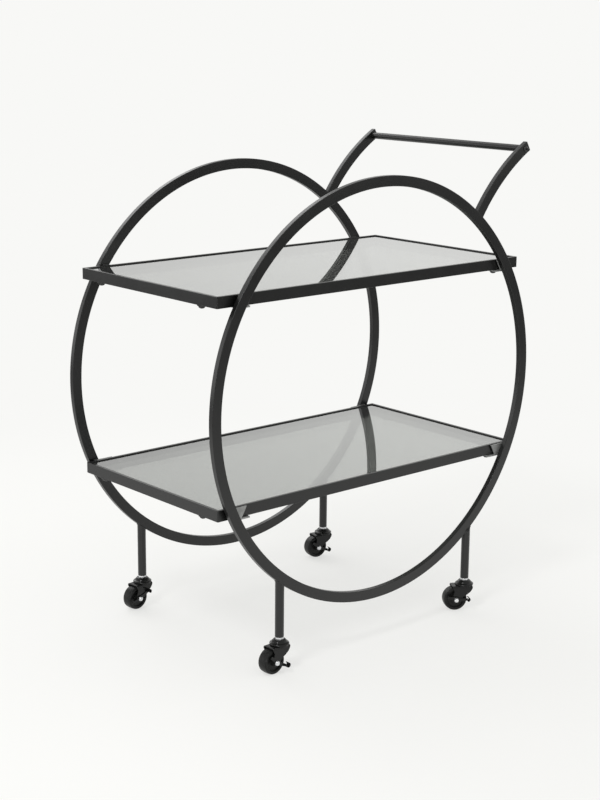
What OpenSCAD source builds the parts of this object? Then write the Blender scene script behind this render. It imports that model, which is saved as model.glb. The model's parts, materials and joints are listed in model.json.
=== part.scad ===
// Serving cart: two ring frames, two glazed shelves, a push handle and four
// swivel casters with side brakes. Millimetres, +Z up. The origin is on the
// floor under the centre of the cart. The rings stand parallel to the XZ
// plane, the front one at -Y and the rear one at +Y, and the handle is at +X.

/* [Rings] */
// Outer diameter of each ring
ring_d = 770; // [740:5:800]
// Depth of the cart over the outer faces of the two rings
cart_depth = 420; // [360:5:480]
// Width of the ring tube along the ring's radius
tube_w = 19; // [16:1:22]
// Thickness of the ring tube from front to back
tube_t = 10; // [9:0.5:12]
// Wall of the rectangular tube
tube_wall = 1.4; // [1:0.1:2]
// Corner radius of the rectangular tube
tube_round = 1.8; // [1:0.1:2.5]
// Height of the lowest point of the rings above the floor
ring_clear = 81; // [76:1:100]

/* [Shelves] */
// Length of both shelf frames
shelf_l = 726; // [700:2:740]
// Gap between a shelf frame and the ring beside it
shelf_gap = 5; // [4:0.5:8]
// Height of the upper shelf's rim above the floor
upper_h = 676; // [660:1:690]
// Height of the lower shelf's rim above the floor
lower_h = 315; // [300:1:330]
// Height of a shelf rail
rail_h = 20; // [18:1:26]
// Width of a shelf rail
rail_w = 20; // [18:1:24]
// Wall of a shelf rail
rail_wall = 1.5; // [1.2:0.1:2]
// Thickness of the rim that stands round the glass
lip_t = 2; // [1.5:0.25:3]
// Corner radius of a shelf frame
corner_r = 2; // [1.5:0.5:4]

/* [Glass] */
// Thickness of each glass panel
glass_t = 5; // [4:0.5:6]
// Depth of the glass surface below the rim
reveal = 2; // [1:0.5:3]
// Gap between the glass edge and the rim
glass_gap = 1; // [0.5:0.25:1.5]
// Thickness of the pads that the glass lies on
pad_t = 1; // [0.5:0.25:1.5]
// Diameter of the pads
pad_d = 9; // [7:1:12]

/* [Legs] */
// Diameter of the leg tubes
leg_d = 16; // [14:0.5:19]
// Wall of the leg tubes
leg_wall = 1.5; // [1.2:0.1:1.8]
// Distance between the left and right legs
leg_spread = 470; // [420:5:500]

/* [Handle] */
// Where the arms leave the ring, as an angle up from +X
arm_root = 51.4; // [45:0.2:60]
// Direction in which the arms leave the ring
arm_dir = 56.6; // [50:0.2:65]
// Angle that the curved arms turn through
arm_sweep_angle = 26.6; // [22:0.2:30]
// Diameter of the handle bar
bar_d = 13; // [12:0.5:18]
// Distance from the end of the arms to the bar's axis
bar_inset = 10; // [9:0.5:16]
// Thread diameter of the handle screws
handle_screw_d = 6; // [5:0.5:6.5]

/* [Brackets and bolts] */
// Plate thickness of the shelf brackets
bracket_t = 3; // [2:0.5:4]
// Distance of the upper bracket bolts outside the ring's inner edge
upper_bolt_out = 7.2; // [5:0.2:9]
// Distance of the lower bracket bolts inside the ring's inner edge
lower_bolt_in = 26.4; // [22:0.2:30]
// Distance of the end bolts from the long edges of a shelf
end_bolt_in = 50; // [40:1:60]
// Distance of the end bolts from the ends of a shelf
end_bolt_edge = 8; // [8:0.5:10]
// Thickness of the washers under the end bolts
washer_t = 1.6; // [1.2:0.1:2]
// Thread diameter of the shelf bolts
bolt_d = 6; // [5:0.5:6.5]
// Diameter of the bolt heads
bolt_head_d = 12; // [11:0.5:13]
// Height of the bolt heads
bolt_head_h = 5; // [4:0.5:6]

/* [Casters] */
// Height of the leg ends above the floor
caster_h = 63; // [63:0.5:68]
// Diameter of the wheels
wheel_d = 46; // [44:0.5:46]
// Width of the wheels
wheel_w = 20; // [16:0.5:21]
// Distance from the swivel axis back to the axle
trail = 19; // [18:0.5:22]
// Diameter of the axles
axle_d = 6; // [5:0.5:7]
// Diameter of the swivel race
race_d = 35; // [33:0.5:38]
// Sheet thickness of the forks
fork_t = 2; // [1.5:0.1:2.2]
// Thread diameter of the caster stems
stem_d = 8; // [7:0.5:8.5]
// Rest angle of each caster about its stem: front left, front right, rear left, rear right
caster_yaw = [2, -30, 6, -10];
// Rest angle of each brake lever: front left, front right, rear left, rear right
lever_rest = [-25, 0, 28, -20];

/* [Hidden] */

// Circle resolution of large and small round features
fine = 180;
small = 48;
// Overshoot of every cut
over = 1;
// Radial clearance of running fits
run_fit = 0.05;
// Air between neighbouring parts that move
air = 0.4;

black = [0.13, 0.13, 0.13];
gloss_black = [0.08, 0.08, 0.08];
zinc = [0.75, 0.76, 0.77];
smoke = [0.45, 0.46, 0.45, 0.6];
clear_rubber = [0.62, 0.62, 0.6];

// Rings
ring_ro = ring_d / 2;
ring_ri = ring_ro - tube_w;
ring_rc = ring_ro - tube_w / 2;
ring_z = ring_clear + ring_ro;
ring_y = (cart_depth - tube_t) / 2;
ring_in_y = ring_y - tube_t / 2;
ring_out_y = ring_y + tube_t / 2;

// Shelves: rail tube with a taller rim on its outer side
shelf_w = 2 * (ring_in_y - shelf_gap);
seat_h = reveal + glass_t + pad_t;
body_h = rail_h - seat_h;
boss_d = bolt_d + 5;
nut_h = body_h - rail_wall;
long_bolt_y = shelf_w / 2 - rail_w / 2;
end_bolt_x = shelf_l / 2 - end_bolt_edge;
end_bolt_y = shelf_w / 2 - end_bolt_in;

// Handle
arm_x0 = ring_ro * cos(arm_root);
arm_z0 = ring_ro * sin(arm_root);
arm_cx = arm_x0 + ring_rc * sin(arm_dir);
arm_cz = arm_z0 - ring_rc * cos(arm_dir);
arm_a1 = arm_dir + 90;
arm_a0 = arm_a1 - arm_sweep_angle;
arm_bury_angle = 3;
arm_cap = 1.5;
bar_a = arm_a0 + bar_inset / ring_rc * 180 / PI;
bar_x = arm_cx + ring_rc * cos(bar_a);
bar_z = ring_z + arm_cz + ring_rc * sin(bar_a);
bar_wall = 1.2;
screw_bite = 18;
screw_head_d = handle_screw_d + 4.5;
screw_head_h = 3.2;

// Casters, measured from the floor
corners = [[-1, -1], [1, -1], [-1, 1], [1, 1]];
axle_z = wheel_d / 2;
fork_gap = wheel_w + 3.6;
fork_out = fork_gap / 2 + fork_t;
fork_z = wheel_d + 1.6;
plate_top = fork_z + fork_t;
collar_h = 4;
collar_af = 14;
race_z = plate_top + air;
race_top = caster_h - collar_h;
cup_d = 22;
eye_r = 7.5;
lever_t = 1.5;
lever_in = fork_out + 0.3;
lever_out = lever_in + lever_t;
head_d = axle_d + 3.6;
head_h = 2.8;
hub_d = 15;

// Half the width of the ring band at a height, measured to a given radius
function ring_x(r, z) = sqrt(r * r - (z - ring_z) * (z - ring_z));

// A rounded rectangle about the origin
module round_rect(w, h, r) {
    union() {
        square([w - 2 * r, h], center = true);
        square([w, h - 2 * r], center = true);
        for (sx = [-1, 1])
            for (sy = [-1, 1])
                translate([sx * (w / 2 - r), sy * (h / 2 - r)])
                    circle(r = r, $fn = small);
    }
}

// The outline and the bore of the rectangular tube
module tube_outline() {
    round_rect(tube_w, tube_t, tube_round);
}

module tube_bore() {
    round_rect(tube_w - 2 * tube_wall, tube_t - 2 * tube_wall, max(tube_round - tube_wall, 0.3));
}

// A closed ring bent from rectangular tube
module ring(side) {
    color(black)
        translate([0, side * ring_y, ring_z])
            rotate([90, 0, 0])
                rotate_extrude($fn = fine)
                    translate([ring_rc, 0])
                        difference() {
                            tube_outline();
                            tube_bore();
                        }
}

// The space that a ring's rim takes, as a cope for tubes welded to it
module ring_cope() {
    translate([0, 0, ring_z])
        rotate([90, 0, 0])
            cylinder(r = ring_ro, h = 2 * cart_depth, center = true, $fn = fine);
}

// A leg tube, coped to the ring above it and open below
module leg(i) {
    x = corners[i][0] * leg_spread / 2;
    bore_top = ring_z - sqrt(ring_ro * ring_ro - pow(leg_spread / 2 - leg_d / 2, 2)) - 3;
    color(black)
        difference() {
            translate([x, corners[i][1] * ring_y, caster_h])
                cylinder(d = leg_d, h = ring_z - caster_h, $fn = small);
            translate([x, corners[i][1] * ring_y, caster_h - over])
                cylinder(d = leg_d - 2 * leg_wall, h = bore_top - caster_h + over, $fn = small);
            ring_cope();
        }
}

// The threaded insert pressed into each leg
insert_h = 16;
module leg_inserts() {
    color(zinc)
        for (c = corners)
            translate([c[0] * leg_spread / 2, c[1] * ring_y, caster_h])
                difference() {
                    cylinder(d = leg_d - 2 * leg_wall, h = insert_h, $fn = small);
                    translate([0, 0, -over])
                        cylinder(d = stem_d + 2 * run_fit, h = insert_h + 2 * over, $fn = small);
                }
}

// A curved handle arm, coped to the ring's rim, capped at its end
module arm_sector(a0, a1) {
    translate([arm_cx, 0, ring_z + arm_cz])
        rotate([90, 0, 0])
            rotate([0, 0, a0])
                rotate_extrude(angle = a1 - a0, $fn = fine)
                    translate([ring_rc, 0])
                        children();
}

module handle_arm(side) {
    cap_a = arm_cap / ring_rc * 180 / PI;
    color(black)
        difference() {
            translate([0, side * ring_y, 0])
                difference() {
                    arm_sector(arm_a0, arm_a1 + arm_bury_angle)
                        tube_outline();
                    arm_sector(arm_a0 + cap_a, arm_a1 + 2 * arm_bury_angle)
                        tube_bore();
                }
            translate([bar_x, side * ring_y, bar_z])
                rotate([90, 0, 0])
                    cylinder(d = handle_screw_d + 0.4, h = tube_t + 2 * over, center = true, $fn = small);
            ring_cope();
        }
}

// The handle bar with its tapped ends
module handle_bar() {
    half = ring_in_y;
    plug = screw_bite + 6;
    color(black)
        translate([bar_x, 0, bar_z])
            rotate([90, 0, 0])
                difference() {
                    cylinder(d = bar_d, h = 2 * half, center = true, $fn = small);
                    cylinder(d = bar_d - 2 * bar_wall, h = 2 * (half - plug), center = true, $fn = small);
                    for (s = [-1, 1])
                        translate([0, 0, s * (half - screw_bite / 2 - 1 + over / 2)])
                            cylinder(d = handle_screw_d + 2 * run_fit, h = screw_bite + 2 + over, center = true, $fn = small);
                }
}

// A button head with a hexagon socket, its seat at z = 0 and its crown at -z
module button_head(d, h, socket) {
    difference() {
        rotate_extrude($fn = small)
            polygon([
                [0, 0], [d * 0.5, 0], [d * 0.5, -h * 0.25], [d * 0.47, -h * 0.5],
                [d * 0.4, -h * 0.75], [d * 0.29, -h * 0.94], [d * 0.2, -h], [0, -h]
            ]);
        translate([0, 0, -h - over])
            cylinder(d = socket / cos(30), h = h * 0.55 + over, $fn = 6);
    }
}

// A screw with its head's seat at z = 0 and its shank up
module screw(d, head_d, head_h, socket, length) {
    union() {
        button_head(head_d, head_h, socket);
        translate([0, 0, -head_h * 0.2])
            cylinder(d = d, h = length + head_h * 0.2, $fn = small);
    }
}

module handle_screws() {
    color(gloss_black)
        for (s = [-1, 1])
            translate([bar_x, s * ring_out_y, bar_z])
                rotate([s * 90, 0, 0])
                    screw(handle_screw_d, screw_head_d, screw_head_h, 4, tube_t + screw_bite);
}

// The plan of a shelf frame, drawn in by a distance from its outer edge
module shelf_plan(inset, r) {
    round_rect(shelf_l - 2 * inset, shelf_w - 2 * inset, r);
}

// Where a shelf's bolts are, as [x, y]. The bracket bolts keep their place
// beside the ring's inner edge at the height of the shelf's rim
function bolt_x(top) = ring_x(ring_ri, top) + (top == upper_h ? upper_bolt_out : -lower_bolt_in);
function long_bolts(top) = [for (c = corners) [c[0] * bolt_x(top), c[1] * long_bolt_y]];
end_bolts = [for (c = corners) [c[0] * end_bolt_x, c[1] * end_bolt_y]];

// A shelf frame of tube with a rim round the glass and nuts for the bolts
inner_r = 2;
pocket_r = 1;
module shelf_frame(top) {
    color(black)
        translate([0, 0, top - rail_h])
            difference() {
                union() {
                    difference() {
                        linear_extrude(rail_h)
                            shelf_plan(0, corner_r);
                        translate([0, 0, body_h])
                            linear_extrude(seat_h + over)
                                shelf_plan(lip_t, pocket_r);
                        translate([0, 0, -over])
                            linear_extrude(rail_h + 2 * over)
                                shelf_plan(rail_w, inner_r);
                        translate([0, 0, rail_wall])
                            linear_extrude(body_h - 2 * rail_wall)
                                difference() {
                                    shelf_plan(rail_wall, pocket_r);
                                    shelf_plan(rail_w - rail_wall, inner_r + rail_wall);
                                }
                    }
                    for (p = concat(long_bolts(top), end_bolts))
                        translate([p[0], p[1], rail_wall / 2])
                            cylinder(d = boss_d, h = nut_h - rail_wall, $fn = small);
                }
                for (p = concat(long_bolts(top), end_bolts))
                    translate([p[0], p[1], -over])
                        cylinder(d = bolt_d + 2 * run_fit, h = nut_h + over, $fn = small);
            }
}

// A glass panel with its corners taken off
glass_r = 3;
module glass_panel(top) {
    color(smoke)
        translate([0, 0, top - reveal - glass_t])
            linear_extrude(glass_t)
                shelf_plan(lip_t + glass_gap, glass_r);
}

// The pads between a glass panel and its rails
module glass_pads(top) {
    px = shelf_l / 2 - rail_w / 2 - lip_t / 2;
    py = shelf_w / 2 - rail_w / 2 - lip_t / 2;
    color(clear_rubber)
        for (p = [[px, py * 0.7], [px * 0.85, py], [px * 0.28, py]])
            for (c = corners)
                translate([c[0] * p[0], c[1] * p[1], top - rail_h + body_h])
                    cylinder(d = pad_d, h = pad_t, $fn = small);
}

// A bracket welded to a ring's inner face: an upright web with a slanted edge
// and a foot under the shelf rail for its bolt. The upper ones hide behind the
// ring, and the lower ones reach inwards past it
foot_w = 19;
web_relief = 0.6;
web_reach = 29;
web_reach_low = 7;
module bracket(top, sx, sy) {
    upper = top == upper_h;
    lean_top = ring_x(ring_ri, top) + (upper ? web_relief : -web_reach);
    lean_low = ring_x(ring_ri, top - rail_h) + (upper ? web_relief : -web_reach_low);
    out_top = ring_x(ring_rc, top);
    out_low = ring_x(ring_rc, top - rail_h);
    bolt = bolt_x(top);
    mirror([sx < 0 ? 1 : 0, 0, 0])
        mirror([0, sy > 0 ? 1 : 0, 0])
            difference() {
                union() {
                    translate([0, bracket_t - ring_in_y, top - rail_h])
                        rotate([90, 0, 0])
                            linear_extrude(bracket_t)
                                polygon([
                                    [lean_top, rail_h - 0.5], [out_top, rail_h - 0.5],
                                    [out_low, -bracket_t], [lean_low, -bracket_t]
                                ]);
                    translate([bolt - foot_w / 2, -ring_in_y, top - rail_h - bracket_t])
                        cube([out_low - bolt + foot_w / 2, shelf_gap + rail_w - 1, bracket_t]);
                }
                translate([bolt, -long_bolt_y, top - rail_h - bracket_t - over])
                    cylinder(d = bolt_d + 0.6, h = bracket_t + 2 * over, $fn = small);
            }
}

module brackets(top) {
    color(zinc)
        for (c = corners)
            bracket(top, c[0], c[1]);
}

// Shelf bolts with their heads below a seat at the given height
bolt_bite = 8;
module bolts(points, seat, grip) {
    color(gloss_black)
        for (p = points)
            translate([p[0], p[1], seat])
                screw(bolt_d, bolt_head_d, bolt_head_h, 4, grip + bolt_bite);
}

// Washers under the heads of the end bolts
washer_rim = 2;
module end_washers() {
    color(gloss_black)
        for (top = [upper_h, lower_h])
            for (p = end_bolts)
                translate([p[0], p[1], top - rail_h - washer_t])
                    difference() {
                        cylinder(d = bolt_head_d + 2 * washer_rim, h = washer_t, $fn = small);
                        translate([0, 0, -over])
                            cylinder(d = bolt_d + 0.6, h = washer_t + 2 * over, $fn = small);
                    }
}

// Puts a caster part, drawn about its stem on the floor, at its corner
module at_corner(i) {
    translate([corners[i][0] * leg_spread / 2, corners[i][1] * ring_y, 0])
        rotate([0, 0, caster_yaw[i]])
            children();
}

// Threaded stem, hexagon collar, swivel shaft and its riveted end
stem_bite = 13;
rivet_d = 13;
rivet_h = 2;
module stem(i) {
    color(zinc)
        at_corner(i)
            union() {
                translate([0, 0, fork_z - air])
                    cylinder(d = stem_d, h = caster_h + stem_bite - fork_z + air, $fn = small);
                translate([0, 0, race_top])
                    cylinder(d = collar_af / cos(30), h = collar_h, $fn = 6);
                translate([0, 0, fork_z - air - rivet_h])
                    cylinder(d1 = rivet_d - 3, d2 = rivet_d, h = rivet_h, $fn = small);
            }
}

// The domed upper race, fixed under the stem's collar
module race(i) {
    r = race_d / 2;
    skin = 1.3;
    h = race_top - race_z;
    color(gloss_black)
        at_corner(i)
            translate([0, 0, race_z])
                rotate_extrude($fn = small * 2)
                    polygon([
                        [r, 0], [r + 0.2, 1.2], [r - 0.3, 2.6], [r - 1.6, 3.6], [r - 3, 4],
                        [r - 3.6, 4.6], [r - 4.2, 6], [r - 5.4, 7.2], [r - 7.2, h],
                        [stem_d / 2, h], [stem_d / 2, h - skin],
                        [r - 7.6, h - skin], [r - 6.2, 6], [r - 5.2, 4], [r - 4, 2.8],
                        [r - 2.2, 2.2], [r - 1.4, 1.2], [r - skin, 0]
                    ]);
}

// The stamped fork: two cheeks bent down from a top plate with a visor over
// the wheel, a round seat under the race and a bearing cup
visor_x = 25;
bend_r = 4;
module fork_side() {
    union() {
        polygon([
            [13.5, plate_top], [14, plate_top - 3], [13, plate_top - 7], [9.5, plate_top - 12],
            [3, plate_top - 17], [-4, plate_top - 20.5],
            [eye_r * 0.8 - trail, axle_z - eye_r * 0.6], [-trail, axle_z],
            [-eye_r * 0.98 - trail, axle_z + eye_r * 0.2],
            [2.5 - visor_x, plate_top - 10], [-visor_x, plate_top - 5], [-visor_x, plate_top]
        ]);
        translate([-trail, axle_z])
            circle(r = eye_r, $fn = small);
    }
}

// The channel that the fork is bent into, looking along the wheel
module fork_channel() {
    tall = 2 * wheel_d;
    difference() {
        translate([0, plate_top - tall / 2])
            round_rect(2 * fork_out, tall, bend_r);
        translate([0, plate_top - fork_t - tall / 2 - over])
            round_rect(fork_gap, tall + 2 * over, bend_r - fork_t);
    }
}

module fork(i) {
    color(black)
        at_corner(i)
            difference() {
                union() {
                    intersection() {
                        translate([0, fork_out + over, 0])
                            rotate([90, 0, 0])
                                linear_extrude(2 * (fork_out + over))
                                    fork_side();
                        translate([-2 * visor_x, 0, 0])
                            rotate([90, 0, 90])
                                linear_extrude(4 * visor_x)
                                    fork_channel();
                    }
                    translate([0, 0, fork_z])
                        cylinder(r = race_d / 2 - 1, h = fork_t, $fn = small * 2);
                    translate([0, 0, fork_z])
                        cylinder(d1 = cup_d, d2 = cup_d - 4, h = fork_t + 3.4, $fn = small * 2);
                }
                translate([0, 0, fork_z - over])
                    cylinder(d = stem_d + 2 * run_fit, h = 12, $fn = small);
                translate([-trail, 0, axle_z])
                    rotate([90, 0, 0])
                        cylinder(d = axle_d, h = 4 * fork_out, center = true, $fn = small);
            }
}

// The axle pin with a domed head outside each cheek
module axle(i) {
    color(zinc)
        at_corner(i)
            translate([-trail, 0, axle_z])
                rotate([90, 0, 0])
                    union() {
                        translate([0, 0, -fork_out])
                            cylinder(d = axle_d, h = fork_out + lever_out + 0.2, $fn = small);
                        translate([0, 0, lever_out + 0.2])
                            cylinder(d1 = head_d, d2 = head_d - 2.4, h = head_h, $fn = small);
                        translate([0, 0, -fork_out - head_h])
                            cylinder(d1 = head_d - 2.4, d2 = head_d, h = head_h, $fn = small);
                    }
}

// The wheel: crowned tread, recessed web on both sides, hub and bore
module wheel(i) {
    r = wheel_d / 2;
    w = wheel_w / 2;
    hub = fork_gap / 2 - air;
    color(gloss_black)
        at_corner(i)
            translate([-trail, 0, axle_z])
                rotate([90, 0, 0])
                    rotate_extrude($fn = small * 2)
                        polygon(concat(
                            [[axle_d / 2 + run_fit, -hub], [hub_d / 2 - 1, -hub], [hub_d / 2, -w + 3.5]],
                            [[r - 7, -w + 3.5], [r - 6, -w + 0.6], [r - 5, -w]],
                            [[r - 2, -w], [r - 0.6, -w + 1.6], [r, -w / 3]],
                            [[r, w / 3], [r - 0.6, w - 1.6], [r - 2, w]],
                            [[r - 5, w], [r - 6, w - 0.6], [r - 7, w - 3.5]],
                            [[hub_d / 2, w - 3.5], [hub_d / 2 - 1, hub], [axle_d / 2 + run_fit, hub]]
                        ));
}

// The brake lever: an eye on the axle, a flanged wing over the wheel's side and
// a waisted arm whose foot pad curls up
lever_eye_r = 6.4;
lever_reach = 23;
waist = 8;
wing_reach = 16;
wing_rise = 8.4;
wing_w = 4.5;
flange_w = 3;
pad_r = 4.5;
pad_w = 8;
module lever_plate() {
    union() {
        circle(r = lever_eye_r, $fn = small);
        polygon([
            [0, lever_eye_r], [waist, lever_eye_r / 2], [lever_reach, pad_r / 2],
            [lever_reach, -pad_r / 2], [waist, -lever_eye_r / 2], [0, -lever_eye_r]
        ]);
        polygon([
            [0, lever_eye_r], [-wing_reach, wing_rise],
            [-wing_reach - lever_t, wing_rise - wing_w], [-lever_eye_r, 0]
        ]);
    }
}

module lever(i) {
    color(gloss_black)
        at_corner(i)
            translate([-trail, 0, axle_z])
                rotate([0, -lever_rest[i], 0])
                    difference() {
                        translate([0, -lever_in, 0])
                            rotate([90, 0, 0])
                                union() {
                                    linear_extrude(lever_t)
                                        lever_plate();
                                    linear_extrude(lever_t + flange_w)
                                        polygon([
                                            [-wing_reach, wing_rise], [-wing_reach, wing_rise - lever_t],
                                            [-lever_eye_r, lever_eye_r], [-lever_eye_r, lever_eye_r + 0.8]
                                        ]);
                                    translate([lever_reach - lever_t, pad_r / 2])
                                        linear_extrude(lever_t + pad_w)
                                            difference() {
                                                circle(r = pad_r, $fn = small);
                                                circle(r = pad_r - lever_t, $fn = small);
                                                translate([-2 * pad_r, -2 * pad_r])
                                                    square([2 * pad_r, 4 * pad_r]);
                                            }
                                }
                        rotate([90, 0, 0])
                            cylinder(d = axle_d + 2 * run_fit, h = 4 * lever_out, center = true, $fn = small);
                    }
}

// One module for each piece or group of equal pieces
module front_ring() {
    ring(-1);
}

module rear_ring() {
    ring(1);
}

module front_left_leg() {
    leg(0);
}

module front_right_leg() {
    leg(1);
}

module rear_left_leg() {
    leg(2);
}

module rear_right_leg() {
    leg(3);
}

module front_handle_arm() {
    handle_arm(-1);
}

module rear_handle_arm() {
    handle_arm(1);
}

module upper_shelf_frame() {
    shelf_frame(upper_h);
}

module lower_shelf_frame() {
    shelf_frame(lower_h);
}

module upper_glass() {
    glass_panel(upper_h);
}

module lower_glass() {
    glass_panel(lower_h);
}

module upper_glass_pads() {
    glass_pads(upper_h);
}

module lower_glass_pads() {
    glass_pads(lower_h);
}

module upper_brackets() {
    brackets(upper_h);
}

module lower_brackets() {
    brackets(lower_h);
}

module upper_bracket_bolts() {
    bolts(long_bolts(upper_h), upper_h - rail_h - bracket_t, bracket_t);
}

module lower_bracket_bolts() {
    bolts(long_bolts(lower_h), lower_h - rail_h - bracket_t, bracket_t);
}

module upper_end_bolts() {
    bolts(end_bolts, upper_h - rail_h - washer_t, washer_t);
}

module lower_end_bolts() {
    bolts(end_bolts, lower_h - rail_h - washer_t, washer_t);
}

module front_left_stem() {
    stem(0);
}

module front_right_stem() {
    stem(1);
}

module rear_left_stem() {
    stem(2);
}

module rear_right_stem() {
    stem(3);
}

module front_left_race() {
    race(0);
}

module front_right_race() {
    race(1);
}

module rear_left_race() {
    race(2);
}

module rear_right_race() {
    race(3);
}

module front_left_fork() {
    fork(0);
}

module front_right_fork() {
    fork(1);
}

module rear_left_fork() {
    fork(2);
}

module rear_right_fork() {
    fork(3);
}

module front_left_axle() {
    axle(0);
}

module front_right_axle() {
    axle(1);
}

module rear_left_axle() {
    axle(2);
}

module rear_right_axle() {
    axle(3);
}

module front_left_wheel() {
    wheel(0);
}

module front_right_wheel() {
    wheel(1);
}

module rear_left_wheel() {
    wheel(2);
}

module rear_right_wheel() {
    wheel(3);
}

module front_left_lever() {
    lever(0);
}

module front_right_lever() {
    lever(1);
}

module rear_left_lever() {
    lever(2);
}

module rear_right_lever() {
    lever(3);
}

front_ring();
rear_ring();
front_left_leg();
front_right_leg();
rear_left_leg();
rear_right_leg();
leg_inserts();
front_handle_arm();
rear_handle_arm();
handle_bar();
handle_screws();
upper_shelf_frame();
lower_shelf_frame();
upper_glass();
lower_glass();
upper_glass_pads();
lower_glass_pads();
upper_brackets();
lower_brackets();
upper_bracket_bolts();
lower_bracket_bolts();
upper_end_bolts();
lower_end_bolts();
end_washers();
front_left_stem();
front_right_stem();
rear_left_stem();
rear_right_stem();
front_left_race();
front_right_race();
rear_left_race();
rear_right_race();
front_left_fork();
front_right_fork();
rear_left_fork();
rear_right_fork();
front_left_axle();
front_right_axle();
rear_left_axle();
rear_right_axle();
front_left_wheel();
front_right_wheel();
rear_left_wheel();
rear_right_wheel();
front_left_lever();
front_right_lever();
rear_left_lever();
rear_right_lever();
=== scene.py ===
"""Serving cart with two ring frames, two smoked glass shelves, a push handle and four swivel casters."""

import json
import math

import bmesh
import bpy
from mathutils import Matrix, Vector
from mathutils.bvhtree import BVHTree

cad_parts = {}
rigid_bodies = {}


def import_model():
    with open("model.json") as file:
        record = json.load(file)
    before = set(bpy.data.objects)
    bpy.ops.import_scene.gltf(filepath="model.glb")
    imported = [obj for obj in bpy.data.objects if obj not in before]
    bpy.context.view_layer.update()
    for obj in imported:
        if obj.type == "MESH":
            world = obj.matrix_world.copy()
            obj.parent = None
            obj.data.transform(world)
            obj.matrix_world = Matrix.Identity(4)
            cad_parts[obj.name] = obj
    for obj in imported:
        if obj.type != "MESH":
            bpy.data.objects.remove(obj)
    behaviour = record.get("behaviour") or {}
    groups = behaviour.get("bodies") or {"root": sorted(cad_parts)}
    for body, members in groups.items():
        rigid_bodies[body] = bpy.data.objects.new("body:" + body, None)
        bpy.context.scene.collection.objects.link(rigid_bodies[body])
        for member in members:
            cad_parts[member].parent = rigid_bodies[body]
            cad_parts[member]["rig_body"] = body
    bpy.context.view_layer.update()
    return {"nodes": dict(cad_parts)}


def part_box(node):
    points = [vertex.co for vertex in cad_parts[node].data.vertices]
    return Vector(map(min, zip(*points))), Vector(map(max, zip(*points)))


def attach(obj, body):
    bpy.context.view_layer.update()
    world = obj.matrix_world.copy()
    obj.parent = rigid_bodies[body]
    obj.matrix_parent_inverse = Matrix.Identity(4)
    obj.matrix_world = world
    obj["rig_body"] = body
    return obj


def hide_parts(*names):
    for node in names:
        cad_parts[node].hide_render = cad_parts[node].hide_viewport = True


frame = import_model()

bl_info = {
    "name": "Ring Serving Cart",
    "version": (1, 0, 0),
    "blender": (4, 5, 0),
    "location": "3D View > Sidebar > Serving Cart",
    "description": "Dresses a ring-framed serving cart with its coat, glass, screws and casters",
    "category": "Object",
}

MM = 0.001
CORNERS = ("front_left", "front_right", "rear_left", "rear_right")
SHELVES = ("upper", "lower")
SIDES = ("front", "rear")

RING_LOW, RING_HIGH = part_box("front_ring")
RING_CENTRE_Z = (RING_LOW.z + RING_HIGH.z) / 2
RING_RADIUS = (RING_HIGH.x - RING_LOW.x) / 2
TUBE_DEEP = RING_HIGH.y - RING_LOW.y
RING_Y = -(RING_LOW.y + RING_HIGH.y) / 2
ARM_ROOT = math.radians(51.4)  # the angle on the ring at which the handle arms stand
ARM_AIM = math.radians(56.6)  # the arms' direction at their roots, above the horizontal
ARM_BEND = math.radians(26.6)  # the angle that the arms turn through
ARM_BURIED = 4 * MM  # the arms' length inside the ring tube
ARM_SHY = 0.12 * MM  # how much less deep they are than the ring, so that no two faces lie in one plane

LEG_WELD_STEPS = 96
ARM_WELD = 0.8  # the length of the beads at the arms' roots, as a share of the tube's depth
BRACKET_WELD_IN = 1.5 * MM  # how far inside the tube's edge the beads on the brackets begin

FRAME_CORNER = 2 * MM  # corner radius of the shelf frames, seen from above
RIM_EDGE = 0.25 * MM
LEDGE_EDGE = 0.3 * MM
GLASS_GAP = 1 * MM
PAD_WIDE = 9 * MM
PAD_INSET = 2 * MM  # how much further in the pads stand than the CAD's, because the glass is smaller
PAD_SPOTS = ((1.0, 0.7), (0.85, 1.0), (0.28, 1.0))  # as shares of the outermost pads' x and y

SOCKET_FLOOR = 0.42  # height of a hexagon socket's floor, as a share of the head's height
DOME_POWER = 0.75  # how flat a screw's head is: 1 is half an ellipsoid
HANDLE_SHANK_LESS = 4.5 * MM  # how much thinner the handle screws' shanks are than their heads
HANDLE_BITE = 18 * MM  # how far they reach into the bar

FLOOR_REACH = 12.0
LAMP_TARGET = (0, 0, 0.4)
LAMPS = (  # name, place, diameter and power
    ("key_light", (-2.4, -0.8, 3.0), 0.8, 36),
    ("side_light", (-3.6, 3.6, 0.5), 3.4, 25),
    ("back_light", (0.4, 4.2, 3.0), 3.6, 70),
    ("front_light", (-2.9, -2.4, 0.5), 1.0, 16),
)
CAMERA_PLACE = (-1.926, -2.186, 1.118)
CAMERA_TARGET = (-0.0124, 0, 0.4156)
CAMERA_LENS = 71.55
CAMERA_ROLL = math.radians(0.5)


# Sizes and colours that a user may change

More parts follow.
